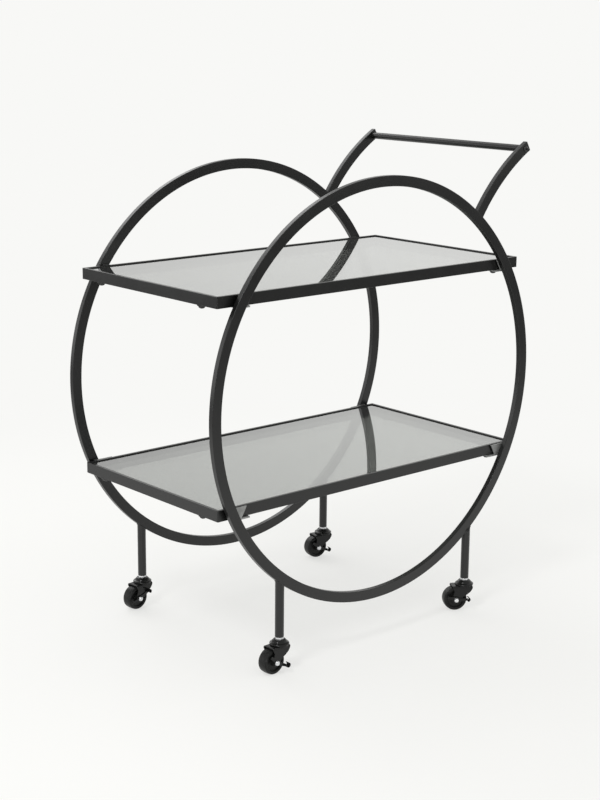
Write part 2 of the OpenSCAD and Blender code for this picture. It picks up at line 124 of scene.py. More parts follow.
class CartSizes(bpy.types.PropertyGroup):
    """Sizes of the pieces that are made here"""

    tube_wide: bpy.props.FloatProperty(
        name="Tube width", description="Width of the ring tube along the ring's radius",
        default=19 * MM, min=16 * MM, max=22 * MM, unit="LENGTH")
    tube_round: bpy.props.FloatProperty(
        name="Tube corner", description="Corner radius of the ring tube",
        default=0.9 * MM, min=0.5 * MM, max=3 * MM, unit="LENGTH")
    ring_steps: bpy.props.IntProperty(
        name="Ring steps", description="Faces round each ring", default=320, min=96, max=720)
    weld_bead: bpy.props.FloatProperty(
        name="Weld bead", description="Width of a weld bead", default=2.6 * MM, min=1 * MM, max=5 * MM,
        unit="LENGTH")
    weld_pitch: bpy.props.FloatProperty(
        name="Weld pitch", description="Distance between the scales of a weld", default=1.5 * MM, min=0.5 * MM,
        max=3 * MM, unit="LENGTH")
    edge_soft: bpy.props.FloatProperty(
        name="Edge", description="Radius of pressed and cut edges", default=0.5 * MM, min=0, max=1.5 * MM,
        unit="LENGTH")
    rail_edge: bpy.props.FloatProperty(
        name="Rail edge", description="Radius of the shelf rails' edges", default=0.6 * MM, min=0.2 * MM,
        max=0.95 * MM, unit="LENGTH")
    rim: bpy.props.FloatProperty(
        name="Rim", description="Width of the shelf rims round the glass", default=5.5 * MM, min=2 * MM,
        max=6 * MM, unit="LENGTH")
    screw_head: bpy.props.FloatProperty(
        name="Screw head", description="Width of the shelf screws' heads", default=12 * MM, min=10 * MM,
        max=14 * MM, unit="LENGTH")
    screw_high: bpy.props.FloatProperty(
        name="Head height", description="Height of the shelf screws' heads", default=5 * MM, min=3 * MM,
        max=6 * MM, unit="LENGTH")
    socket: bpy.props.FloatProperty(
        name="Socket", description="Width across the flats of the screws' sockets", default=4 * MM, min=2 * MM,
        max=6 * MM, unit="LENGTH")


class CartColours(bpy.types.PropertyGroup):
    """Colours and finish of the materials"""

    coat: bpy.props.FloatVectorProperty(
        name="Coat", description="Powder coat on frame and shelves", default=(0.0052, 0.0054, 0.0053), size=3,
        min=0, max=1, subtype="COLOR")
    coat_rough: bpy.props.FloatProperty(
        name="Coat roughness", description="Roughness of the powder coat", default=0.30, min=0, max=1,
        subtype="FACTOR")
    glass: bpy.props.FloatVectorProperty(
        name="Glass", description="Light that the smoked glass lets through once", default=(0.51, 0.52, 0.505),
        size=3, min=0, max=1, subtype="COLOR")
    enamel: bpy.props.FloatVectorProperty(
        name="Enamel", description="Black enamel of the casters", default=(0.0055, 0.0056, 0.0055), size=3,
        min=0, max=1, subtype="COLOR")
    nylon: bpy.props.FloatVectorProperty(
        name="Wheel", description="Moulded wheels", default=(0.009, 0.0092, 0.009), size=3, min=0, max=1,
        subtype="COLOR")
    background: bpy.props.FloatVectorProperty(
        name="Background", description="Plain background behind the cart", default=(0.939, 0.939, 0.922), size=3,
        min=0, max=1, subtype="COLOR")
    floor: bpy.props.FloatVectorProperty(
        name="Floor", description="Pale floor under the cart", default=(0.94, 0.94, 0.925), size=3, min=0, max=1,
        subtype="COLOR")
    zinc: bpy.props.FloatVectorProperty(
        name="Zinc", description="Bright zinc plate of stems and axles", default=(0.8, 0.81, 0.82), size=3,
        min=0, max=1, subtype="COLOR")
    sheet: bpy.props.FloatVectorProperty(
        name="Bracket sheet", description="Dull plated sheet of the brackets", default=(0.30, 0.305, 0.30), size=3,
        min=0, max=1, subtype="COLOR")


# Node trees written as expressions

class Value:
    """An output socket that plain arithmetic builds on."""

    def __init__(self, tree, socket):
        self.tree = tree
        self.socket = socket

    def _maths(self, operation, *values):
        inputs = dict(enumerate(values))
        return self.tree.add("ShaderNodeMath", {"operation": operation}, inputs)

    def __add__(self, other):
        return self._maths("ADD", self, other)

    def __radd__(self, other):
        return self._maths("ADD", other, self)

    def __sub__(self, other):
        return self._maths("SUBTRACT", self, other)

    def __rsub__(self, other):
        return self._maths("SUBTRACT", other, self)

    def __mul__(self, other):
        return self._maths("MULTIPLY", self, other)

    def __rmul__(self, other):
        return self._maths("MULTIPLY", other, self)

    def __truediv__(self, other):
        return self._maths("DIVIDE", self, other)

    def __pow__(self, other):
        return self._maths("POWER", self, other)

    def clamped(self):
        return self.tree.add("ShaderNodeClamp", {}, {"Value": self})

    def sine(self):
        return self._maths("SINE", self)

    def absolute(self):
        return self._maths("ABSOLUTE", self)

    def at_least(self, low):
        return self._maths("MAXIMUM", self, low)

    def at_most(self, high):
        return self._maths("MINIMUM", self, high)

    def fade(self, low, high):
        """0 below low, 1 above high, smooth between."""
        return self.tree.add("ShaderNodeMapRange", {"interpolation_type": "SMOOTHSTEP"},
                             {"Value": self, "From Min": low, "From Max": high})


class Tree:
    """A node tree that is filled with add()."""

    def __init__(self, tree):
        self.tree = tree

    def add(self, kind, settings=None, inputs=None, out=0):
        """Adds a node: its type, its settings, the values or links of its sockets, and which output to give."""
        node = self.tree.nodes.new(kind)
        for key, value in (settings or {}).items():
            setattr(node, key, value)
        for key, value in (inputs or {}).items():
            self.feed(node.inputs[key], value)
        return Value(self, node.outputs[out])

    def feed(self, socket, value):
        if isinstance(value, (list, tuple)) and value and isinstance(value[0], Value):
            for part in value:
                self.tree.links.new(part.socket, socket)
        elif isinstance(value, Value):
            self.tree.links.new(value.socket, socket)
        else:
            socket.default_value = value

    def tint(self, factor, dark, light):
        """A colour between two others."""
        return self.add("ShaderNodeMix", {"data_type": "RGBA"}, {0: factor, 6: dark, 7: light}, 2)

    def end(self, kind, result):
        """Adds the tree's output node and links the result to it."""
        output = self.tree.nodes.new(kind)
        self.tree.links.new(result.socket, output.inputs[0])


class Shader(Tree):
    """A material's nodes."""

    def __init__(self, name):
        self.material = bpy.data.materials.new(name)
        self.material.use_nodes = True
        super().__init__(self.material.node_tree)
        self.tree.nodes.clear()
        self.place = self.add("ShaderNodeTexCoord", out="Object")

    def noise(self, scale, detail=2.0, rough=0.5, place=None):
        return self.add("ShaderNodeTexNoise", {}, {
            "Vector": place or self.place, "Scale": scale, "Detail": detail, "Roughness": rough})

    def cells(self, scale, out="Distance"):
        return self.add("ShaderNodeTexVoronoi", {}, {"Vector": self.place, "Scale": scale}, out)

    def bump(self, height, distance, strength, under=None):
        inputs = {"Height": height, "Distance": distance, "Strength": strength}
        if under is not None:
            inputs["Normal"] = under
        return self.add("ShaderNodeBump", {}, inputs)

    def finish(self, surface):
        self.end("ShaderNodeOutputMaterial", surface)
        return self.material

    def principled(self, **values):
        names = {key.replace("_", " "): value for key, value in values.items()}
        return self.add("ShaderNodeBsdfPrincipled", {}, names)


def rgba(colour, scale=1.0):
    return (colour[0] * scale, colour[1] * scale, colour[2] * scale, 1.0)


def powder_coat(colours):
    """Matt black powder coat: orange peel, a faint cloudiness and slightly smoother patches."""
    s = Shader("black_powder_coat")
    peel = s.noise(900, 2.0, 0.55)
    speck = s.noise(3200, 1.0)
    cloud = s.noise(14, 3.0, 0.6)
    colour = s.tint(cloud.fade(0.3, 0.7), rgba(colours.coat, 0.85), rgba(colours.coat, 1.2))
    rough = colours.coat_rough - 0.05 + 0.1 * cloud + 0.06 * (speck - 0.5)
    normal = s.bump(peel, 0.06 * MM, 0.55, s.bump(speck, 0.02 * MM, 0.5))
    return s.finish(s.principled(Base_Color=colour, Roughness=rough, Normal=normal, Specular_IOR_Level=0.52))


def enamel(colours):
    """Glossy black enamel over pressed steel: soft waviness and fine dust in the lacquer."""
    s = Shader("black_enamel")
    wave = s.noise(180, 2.0)
    dust = s.cells(2600)
    cloud = s.noise(45, 2.0)
    colour = s.tint(cloud, rgba(colours.enamel, 0.8), rgba(colours.enamel, 1.3))
    rough = 0.12 + 0.1 * cloud
    normal = s.bump(wave, 0.00012, 0.5, s.bump(dust, 0.01 * MM, 0.3))
    return s.finish(s.principled(Base_Color=colour, Roughness=rough, Normal=normal, Specular_IOR_Level=0.3))


def wheel_nylon(colours):
    """Moulded black nylon: a fine spark texture and cloudy grey scuffs."""
    s = Shader("moulded_nylon")
    grain = s.noise(2400, 2.0)
    scuff = s.noise(260, 3.0, 0.6)
    colour = s.tint(scuff.fade(0.45, 0.75), rgba(colours.nylon, 0.9), rgba(colours.nylon, 1.8))
    rough = 0.3 + 0.16 * scuff
    normal = s.bump(grain, 0.04 * MM, 0.5)
    return s.finish(s.principled(Base_Color=colour, Roughness=rough, Normal=normal, Specular_IOR_Level=0.2))


def black_oxide(colours):
    """Blackened screws: oily dark steel with a fine grain."""
    s = Shader("black_oxide")
    fine = s.noise(1800, 3.0)
    colour = s.tint(fine, rgba(colours.enamel, 0.9), rgba(colours.enamel, 2.2))
    rough = 0.26 + 0.2 * fine
    normal = s.bump(fine, 0.03 * MM, 0.4)
    return s.finish(s.principled(Base_Color=colour, Roughness=rough, Normal=normal, Specular_IOR_Level=0.6))


def zinc_plate(colours):
    """Bright zinc plate: fine crystals, a cloudy sheen and a fine grain."""
    s = Shader("zinc_plate")
    crystal = s.cells(900, "Color")
    cloud = s.noise(60, 3.0)
    grain = s.noise(2600, 1.0)
    colour = s.tint(cloud.fade(0.25, 0.75), rgba(colours.zinc, 0.82), rgba(colours.zinc, 1.08))
    rough = 0.24 + 0.1 * cloud + 0.05 * grain + 0.04 * crystal
    normal = s.bump(grain, 0.02 * MM, 0.5)
    return s.finish(s.principled(Base_Color=colour, Metallic=1.0, Roughness=rough, Normal=normal))


def bracket_steel(colours):
    """Dull zinc-plated sheet: a cloudy grey with faint rolling marks and small rubbed spots."""
    s = Shader("dull_zinc_sheet")
    drawn_out = s.add("ShaderNodeVectorMath", {"operation": "MULTIPLY"}, {0: s.place, 1: (0.08, 1.0, 1.0)})
    rolled = s.noise(420, 3.0, 0.6, drawn_out)
    cloud = s.noise(38, 3.0, 0.6)
    rubbed = s.cells(320).fade(0.0, 0.55)
    colour = s.tint(cloud.fade(0.3, 0.7), rgba(colours.sheet, 0.8), rgba(colours.sheet, 1.15))
    rough = 0.4 + 0.12 * cloud + 0.06 * rolled - 0.05 * rubbed
    normal = s.bump(rolled, 0.03 * MM, 0.5)
    return s.finish(s.principled(Base_Color=colour, Metallic=0.75, Roughness=rough, Normal=normal))


def smoked_glass(colours):
    """Smoked glass: mirrors more the flatter it is seen, lets tinted light through, and is very slightly wavy."""
    s = Shader("smoked_glass")
    wave = s.noise(5, 1.0)
    smear = s.noise(22, 3.0, 0.6)
    rough = 0.012 + 0.012 * smear.fade(0.45, 0.75)
    normal = s.bump(wave, 0.02 * MM, 0.4)
    mirror = s.principled(Base_Color=(0.915, 0.925, 0.92, 1), Metallic=1.0, Roughness=rough, Normal=normal)
    through = s.add("ShaderNodeBsdfTransparent", {}, {"Color": rgba(colours.glass)})
    facing = s.add("ShaderNodeLayerWeight", {}, {"Blend": 0.5}, "Facing")
    gloss = 0.04 + 1.03 * facing ** 2.7
    return s.finish(s.add("ShaderNodeMixShader", {}, {0: gloss, 1: through, 2: mirror}))


def soft_pad(colours):
    """Translucent rubber pads under the glass."""
    s = Shader("soft_pad")
    grain = s.noise(1500, 2.0)
    colour = s.tint(grain, (0.34, 0.34, 0.33, 1), (0.46, 0.46, 0.45, 1))
    rough = 0.5 + 0.1 * grain
    normal = s.bump(grain, 0.03 * MM, 0.4)
    return s.finish(s.principled(Base_Color=colour, Roughness=rough, Normal=normal))


MAKERS = {
    "powder_black": powder_coat, "caster_black": enamel, "lever_black": enamel, "wheel_black": wheel_nylon,
    "black_screws": black_oxide, "zinc_plate": zinc_plate, "bracket_steel": bracket_steel,
    "smoked_glass": smoked_glass, "clear_rubber": soft_pad,
}
_made = {}


def material(slot):
    """The material of a finish slot, made once."""
    maker = MAKERS[slot]
    if maker not in _made:
        _made[maker] = maker(bpy.context.scene.cart_colours)
    return _made[maker]


# Meshes

def put(name, mesh, body, slot, *nodes):
    """Links a finished mesh as a piece of the cart."""
    obj = bpy.data.objects.new(name, mesh)
    bpy.context.scene.collection.objects.link(obj)
    mesh.materials.clear()
    mesh.materials.append(material(slot))
    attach(obj, body)
    if nodes:
        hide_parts(*nodes)
    return obj


def body_of(node):
    return frame["nodes"][node]["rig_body"]


def plain_mesh(obj, name):
    """The mesh that a temporary object shows with its modifiers, and the object is removed."""
    graph = bpy.context.evaluated_depsgraph_get()
    mesh = bpy.data.meshes.new_from_object(obj.evaluated_get(graph))
    mesh.name = name
    old = obj.data
    bpy.data.objects.remove(obj)
    if old.users == 0:
        bpy.data.meshes.remove(old)
    return mesh


def finish_edges(mesh, name, soft, steps=2, angle=32):
    """Rounds the sharp edges of a mesh and evens its shading."""
    obj = bpy.data.objects.new(name + "_raw", mesh)
    bpy.context.scene.collection.objects.link(obj)
    mesh.shade_smooth()
    if soft > 0:
        bevel = obj.modifiers.new("edges", "BEVEL")
        bevel.width = soft
        bevel.segments = steps
        bevel.limit_method = "ANGLE"
        bevel.angle_limit = math.radians(angle)
        bevel.use_clamp_overlap = False
    even = obj.modifiers.new("even", "WEIGHTED_NORMAL")
    even.keep_sharp = True
    even.weight = 50
    if soft <= 0:
        mesh.set_sharp_from_angle(angle=math.radians(angle))
    return plain_mesh(obj, name)


def cad_mesh(node, merge, flat=0.4):
    """A merged copy of a CAD node's mesh with its flat faces joined up, none of them hollow."""
    bm = bmesh.new()
    bm.from_mesh(frame["nodes"][node].data)
    bmesh.ops.remove_doubles(bm, verts=bm.verts, dist=merge)
    bmesh.ops.dissolve_limit(bm, angle_limit=math.radians(flat), verts=bm.verts, edges=bm.edges)
    bmesh.ops.connect_verts_concave(bm, faces=bm.faces)
    mesh = bpy.data.meshes.new(node + "_copy")
    bm.to_mesh(mesh)
    bm.free()
    return mesh


def paint(node, slot):
    """Gives a CAD node that keeps its own mesh its finish."""
    obj = frame["nodes"][node]
    for index in range(len(obj.data.materials)):
        obj.data.materials[index] = material(slot)


def draw_back(mesh, shape, reach):
    """Puts corners that a rounded edge has thrown out back on the shape that they came from."""
    for vertex in mesh.vertices:
        spot, _, _, gap = shape.find_nearest(vertex.co)
        if gap > reach:
            vertex.co = spot


def dressed(node, name, slot, soft, steps=2, angle=32, merge=0.03 * MM):
    """A CAD node's own shape with rounded edges, in its place."""
    raw = cad_mesh(node, merge)
    shape = BVHTree.FromPolygons([v.co for v in raw.vertices], [p.vertices for p in raw.polygons])
    mesh = finish_edges(raw, name, soft, steps, angle)
    draw_back(mesh, shape, 0.5 * soft)
    return put(name, mesh, body_of(node), slot, node)


# Geometry node groups

def group_inputs(tree, inputs):
    """Adds a group's named inputs and its geometry output."""
    for name, kind, default in inputs:
        socket = tree.interface.new_socket(name=name, in_out="INPUT", socket_type="NodeSocket" + kind)
        if default is not None:
            socket.default_value = default
    tree.interface.new_socket(name="Geometry", in_out="OUTPUT", socket_type="NodeSocketGeometry")


def new_group(name, inputs):
    """A geometry node tree with named inputs, and a way to read them."""
    tree = bpy.data.node_groups.new(name, "GeometryNodeTree")
    group_inputs(tree, [("Geometry", "Geometry", None)] + inputs + [("Material", "Material", None)])
    t = Tree(tree)
    start = tree.nodes.new("NodeGroupInput")
    return t, lambda key: Value(t, start.outputs[key])


def close_group(t, given, geometry):
    """Ends a tree in Realize Instances and Set Material."""
    real = t.add("GeometryNodeRealizeInstances", {}, {"Geometry": geometry})
    painted = t.add("GeometryNodeSetMaterial", {}, {"Geometry": real, "Material": given("Material")})
    t.end("NodeGroupOutput", painted)
    return t.tree


def run_group(tree, name, values, slot, mesh=None):
    """Runs a geometry node group and gives its result as a plain mesh."""
    obj = bpy.data.objects.new(name + "_raw", mesh or bpy.data.meshes.new(name + "_raw"))
    bpy.context.scene.collection.objects.link(obj)
    modifier = obj.modifiers.new("make", "NODES")
    modifier.node_group = tree
    named = {item.name: item.identifier for item in tree.interface.items_tree if item.in_out == "INPUT"}
    modifier[named["Material"]] = material(slot)
    for key, value in values.items():
        modifier[named[key]] = value
    return plain_mesh(obj, name)


def tube_tree(closed):
    """A rectangular tube with round corners, bent to a full ring or to an arc, that stands upright."""
    t, given = new_group("Ring tube" if closed else "Arm tube", [
        ("Radius", "Float", 375 * MM), ("Wide", "Float", 19 * MM), ("Deep", "Float", 10 * MM),
        ("Corner", "Float", 0.9 * MM), ("Start", "Float", 0.0), ("Sweep", "Float", 1.0), ("Steps", "Int", 320),
        ("Place", "Vector", (0, 0, 0)),
    ])
    if closed:
        path = t.add("GeometryNodeCurvePrimitiveCircle", {"mode": "RADIUS"}, {
            "Resolution": given("Steps"), "Radius": given("Radius")})
    else:
        path = t.add("GeometryNodeCurveArc", {"mode": "RADIUS"}, {
            "Resolution": given("Steps"), "Radius": given("Radius"), "Start Angle": given("Start"),
            "Sweep Angle": given("Sweep")})
    upward = t.add("GeometryNodeSetCurveNormal", {"mode": "Z_UP"}, {"Curve": path})
    outline = t.add("GeometryNodeCurvePrimitiveQuadrilateral", {"mode": "RECTANGLE"},
                    {"Width": given("Wide"), "Height": given("Deep")})
    rounded = t.add("GeometryNodeFilletCurve", {"mode": "POLY"},
                    {"Curve": outline, "Count": 4, "Radius": given("Corner")})
    tube = t.add("GeometryNodeCurveToMesh", {}, {"Curve": upward, "Profile Curve": rounded, "Fill Caps": True})
    upright = t.add("GeometryNodeTransform", {}, {
        "Geometry": tube, "Rotation": (math.pi / 2, 0, 0), "Translation": given("Place")})
    return close_group(t, given, upright)


def weld_tree():
    """Weld beads along a path of edges, with a scale for each dip of the torch."""
    t, given = new_group("Weld beads", [("Bead", "Float", 2.6 * MM), ("Pitch", "Float", 1.5 * MM)])
    path = t.add("GeometryNodeMeshToCurve", {}, {"Mesh": given("Geometry")})
    fine = t.add("GeometryNodeResampleCurve", {"mode": "LENGTH"}, {"Curve": path, "Length": given("Pitch") / 4})
    along = t.add("GeometryNodeSplineParameter", {}, {}, "Length")
    scale = 0.78 + 0.22 * (along * math.pi / given("Pitch")).sine().absolute()
    circle = t.add("GeometryNodeCurvePrimitiveCircle", {"mode": "RADIUS"}, {
        "Resolution": 10, "Radius": given("Bead") / 2})
    bead = t.add("GeometryNodeCurveToMesh", {}, {
        "Curve": fine, "Profile Curve": circle, "Scale": scale, "Fill Caps": True})
    return close_group(t, given, bead)


def screw_tree():
    """Button-head screws on points: a domed head with a hexagon socket and a shank."""
    t, given = new_group("Socket screws", [
        ("Head", "Float", 12 * MM), ("High", "Float", 5 * MM), ("Socket", "Float", 4 * MM),
        ("Shank", "Float", 6 * MM), ("Length", "Float", 12 * MM),
    ])
    ball = t.add("GeometryNodeMeshUVSphere", {}, {"Segments": 40, "Rings": 24, "Radius": 1.0})
    place = t.add("GeometryNodeInputPosition")
    x, y, z = (t.add("ShaderNodeSeparateXYZ", {}, {"Vector": place}, axis) for axis in "XYZ")
    dome = z.at_least(0.0) ** DOME_POWER * given("High")
    spread = given("Head") / 2
    moved = t.add("ShaderNodeCombineXYZ", {}, {"X": x * spread, "Y": y * spread, "Z": dome})
    head = t.add("GeometryNodeSetPosition", {}, {"Geometry": ball, "Position": moved})
    head = t.add("GeometryNodeMergeByDistance", {}, {"Geometry": head, "Distance": 0.005 * MM})
    hexagon = t.add("GeometryNodeMeshCylinder", {}, {
        "Vertices": 6, "Radius": given("Socket") / math.sqrt(3), "Depth": given("High") * 2})
    deep = t.add("ShaderNodeCombineXYZ", {}, {"Z": given("High") * (1 + SOCKET_FLOOR)})
    hexagon = t.add("GeometryNodeTransform", {}, {"Geometry": hexagon, "Translation": deep})
    cut = t.add("GeometryNodeMeshBoolean", {"operation": "DIFFERENCE", "solver": "EXACT"}, {
        "Mesh 1": head, "Mesh 2": hexagon})
    shank = t.add("GeometryNodeMeshCylinder", {}, {
        "Vertices": 24, "Radius": given("Shank") / 2, "Depth": given("Length")})
    down = t.add("ShaderNodeCombineXYZ", {}, {"Z": given("Length") * -0.5})
    shank = t.add("GeometryNodeTransform", {}, {"Geometry": shank, "Translation": down})
    screw = t.add("GeometryNodeJoinGeometry", {}, {"Geometry": [cut, shank]})
    aim = t.add("GeometryNodeInputNamedAttribute", {"data_type": "FLOAT_VECTOR"}, {"Name": "aim"})
    turn = t.add("FunctionNodeAlignRotationToVector", {"axis": "Z"}, {"Vector": aim})
    spots = t.add("GeometryNodeInstanceOnPoints", {}, {
        "Points": given("Geometry"), "Instance": screw, "Rotation": turn})
    return close_group(t, given, spots)


def pad_tree():
    """Round soft pads on points, with their upper and lower edges drawn in."""
    t, given = new_group("Round pads", [("Wide", "Float", PAD_WIDE), ("Thick", "Float", 1 * MM)])
    ball = t.add("GeometryNodeMeshUVSphere", {}, {"Segments": 28, "Rings": 10, "Radius": 1.0})
    place = t.add("GeometryNodeInputPosition")
    x, y, z = (t.add("ShaderNodeSeparateXYZ", {}, {"Vector": place}, axis) for axis in "XYZ")
    flat = (z * 3.2).at_least(-1.0).at_most(1.0) * (given("Thick") / 2)
    spread = given("Wide") / 2
    moved = t.add("ShaderNodeCombineXYZ", {}, {"X": x * spread, "Y": y * spread, "Z": flat})
    pad = t.add("GeometryNodeSetPosition", {}, {"Geometry": ball, "Position": moved})
    spots = t.add("GeometryNodeInstanceOnPoints", {}, {"Points": given("Geometry"), "Instance": pad})
    return close_group(t, given, spots)


def points_mesh(points, aims=None):
    """Loose points with the direction that each one's screw faces."""
    mesh = bpy.data.meshes.new("points")
    mesh.from_pydata(points, [], [])
    if aims:
        layer = mesh.attributes.new("aim", "FLOAT_VECTOR", "POINT")
        for spot, aim in zip(layer.data, aims):
            spot.vector = aim
    return mesh


def rounded(corners, steps=5):
    """A closed outline through corners given as (x, y, radius), each rounded by its own radius."""
    outline = []
    for index, (x, y, radius) in enumerate(corners):
        here = Vector((x, y))
        before = (Vector(corners[index - 1][:2]) - here).normalized()
        after = (Vector(corners[(index + 1) % len(corners)][:2]) - here).normalized()
        half = before.angle(after) / 2
        centre = here + (before + after).normalized() * radius / math.sin(half)
        start = here + before * radius / math.tan(half) - centre
        end = here + after * radius / math.tan(half) - centre
        sweep = start.angle_signed(end)
        for step in range(steps + 1):
            turn = -sweep * step / steps
            outline.append(centre + Matrix.Rotation(turn, 2) @ start)
    return outline


def mitred_frame(name, low, high, profile, corner, steps=6):
    """A rail profile, as distances inwards and heights, led round a rectangle with nearly sharp corners."""
    rows = []
    for inset, height in profile:
        radius = max(corner - inset, 0.02 * MM)
        x, y = (high.x - low.x) / 2 - inset - radius, (high.y - low.y) / 2 - inset - radius
        row = []
        for quarter in range(4):
            sx, sy = ((1, 1), (-1, 1), (-1, -1), (1, -1))[quarter]
            for step in range(steps + 1):
                turn = (quarter + step / steps) * math.pi / 2
                row.append((sx * x + radius * math.cos(turn), sy * y + radius * math.sin(turn), height))
        rows.append(row)
    count, around = len(rows), len(rows[0])
    faces = []
    for r in range(count):
        here, after = r * around, (r + 1) % count * around
        for c in range(around):
            beside = (c + 1) % around
            faces.append((here + c, after + c, after + beside, here + beside))
    mesh = bpy.data.meshes.new(name)
    mesh.from_pydata([spot for row in rows for spot in row], [], faces)
    return mesh


def path_mesh(paths):
    """Edges along a list of paths, each with its points and whether it closes."""
    mesh = bpy.data.meshes.new("paths")
    points, edges = [], []
    for path, closed in paths:
        first = len(points)
        points += path
        edges += [(first + i, first + i + 1) for i in range(len(path) - 1)]
        if closed:
            edges.append((first + len(path) - 1, first))
    mesh.from_pydata(points, edges, [])
    return mesh


# Places that several pieces share

def ring_underside(x):
    """Height of the underside of a ring at x."""
    return RING_CENTRE_Z - math.sqrt(RING_RADIUS * RING_RADIUS - x * x)


def ring_reach(z, radius):
    """How far out a ring's circle of a given radius is at a height."""
    return math.sqrt(radius * radius - (z - RING_CENTRE_Z) ** 2)


def side_sign(side):
    return -1 if side == "front" else 1


def leg_weld(corner):
    """The closed line where a leg meets the underside of its ring."""
    low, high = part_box(corner + "_leg")
    x, y, radius = (low.x + high.x) / 2, (low.y + high.y) / 2, (high.x - low.x) / 2
    path = []
    for step in range(LEG_WELD_STEPS):
        turn = step / LEG_WELD_STEPS * math.tau
        px = x + radius * math.cos(turn)
        py = max(-TUBE_DEEP / 2, min(TUBE_DEEP / 2, radius * math.sin(turn)))
        path.append((px, y + py, ring_underside(px)))
    return path, True


def arm_welds(side):
    """The two lines across a ring where its handle arm stands on it, short of the tube's round corners."""
    y = side_sign(side) * RING_Y
    wide = bpy.context.scene.cart_sizes.tube_wide / 2
    lines = []
    for sign in (-1, 1):
        angle = ARM_ROOT + sign * wide / RING_RADIUS
        x, z = RING_RADIUS * math.cos(angle), RING_CENTRE_Z + RING_RADIUS * math.sin(angle)
        lines.append(([(x, y + across * TUBE_DEEP / 2, z) for across in (-ARM_WELD, 0, ARM_WELD)], False))
    return lines


def bracket_welds(shelf):
    """The lines where a shelf's brackets lie on the inner faces of the rings."""
    low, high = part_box(shelf + "_brackets")
    middle = RING_RADIUS - bpy.context.scene.cart_sizes.tube_wide / 2
    inner = RING_RADIUS - bpy.context.scene.cart_sizes.tube_wide
    lines = []
    for sx in (-1, 1):
        for sy in (-1, 1):
            y = sy * (RING_Y - TUBE_DEEP / 2)
            corners = [
                (ring_reach(high.z, inner) + BRACKET_WELD_IN, high.z), (ring_reach(high.z, middle), high.z),
                (ring_reach(low.z, middle), low.z), (ring_reach(low.z, inner) + BRACKET_WELD_IN, low.z)]
            lines.append(([(sx * x, y, z) for x, z in corners], False))
    return lines


def four_points(node, head, high):
    """Where the four screws of a node sit: their seats, and their length above it."""
    low, high_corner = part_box(node)
    x, y = high_corner.x - head / 2, high_corner.y - head / 2
    seat = low.z + high
    return [(sx * x, sy * y, seat) for sx in (-1, 1) for sy in (-1, 1)], high_corner.z - seat


# Operators

class CART_OT_rings(bpy.types.Operator):
    """Bends the two ring frames from rectangular tube and welds legs, arms and brackets to them"""
    bl_idname = "serving_cart.rings"
    bl_label = "Ring frames"

    def execute(self, context):
        sizes = context.scene.cart_sizes
        tree = tube_tree(True)
        for side in SIDES:
            values = {
                "Radius": RING_RADIUS - sizes.tube_wide / 2, "Wide": sizes.tube_wide, "Deep": TUBE_DEEP,
                "Corner": sizes.tube_round, "Steps": sizes.ring_steps,
                "Place": (0.0, side_sign(side) * RING_Y, RING_CENTRE_Z)}
            mesh = run_group(tree, side + "_ring_tube", values, "powder_black")
            put(side + "_ring_tube", finish_edges(mesh, mesh.name, 0), "cart", "powder_black", side + "_ring")
        for corner in CORNERS:
            dressed(corner + "_leg", corner + "_leg_tube", "powder_black", 0.3 * MM)
        paint("leg_inserts", "zinc_plate")
        paths = [leg_weld(corner) for corner in CORNERS]
        paths += [line for side in SIDES for line in arm_welds(side)]
        paths += [line for shelf in SHELVES for line in bracket_welds(shelf)]
        values = {"Bead": sizes.weld_bead, "Pitch": sizes.weld_pitch}
        beads = run_group(weld_tree(), "frame_welds", values, "powder_black", path_mesh(paths))
        put("frame_welds", finish_edges(beads, "frame_welds", 0, angle=60), "cart", "powder_black")
        return {"FINISHED"}


class CART_OT_handle(bpy.types.Operator):
    """Bends the two handle arms and puts the round bar between them"""
    bl_idname = "serving_cart.handle"
    bl_label = "Push handle"

    def execute(self, context):
        sizes = context.scene.cart_sizes
        middle = RING_RADIUS - sizes.tube_wide / 2
        centre_x = RING_RADIUS * math.cos(ARM_ROOT) + middle * math.sin(ARM_AIM)
        centre_z = RING_RADIUS * math.sin(ARM_ROOT) - middle * math.cos(ARM_AIM)
        tree = tube_tree(False)
        buried = ARM_BURIED / middle
        for side in SIDES:
            values = {
                "Radius": middle, "Wide": sizes.tube_wide, "Deep": TUBE_DEEP - ARM_SHY, "Corner": sizes.tube_round,
                "Start": ARM_AIM + math.pi / 2 - ARM_BEND, "Sweep": ARM_BEND + buried, "Steps": 48,
                "Place": (centre_x, side_sign(side) * RING_Y, RING_CENTRE_Z + centre_z)}
            mesh = run_group(tree, side + "_arm_tube", values, "powder_black")
            mesh = finish_edges(mesh, mesh.name, sizes.edge_soft)
            put(side + "_arm_tube", mesh, "cart", "powder_black", side + "_handle_arm")
        dressed("handle_bar", "handle_bar_tube", "powder_black", 0.3 * MM)
        return {"FINISHED"}


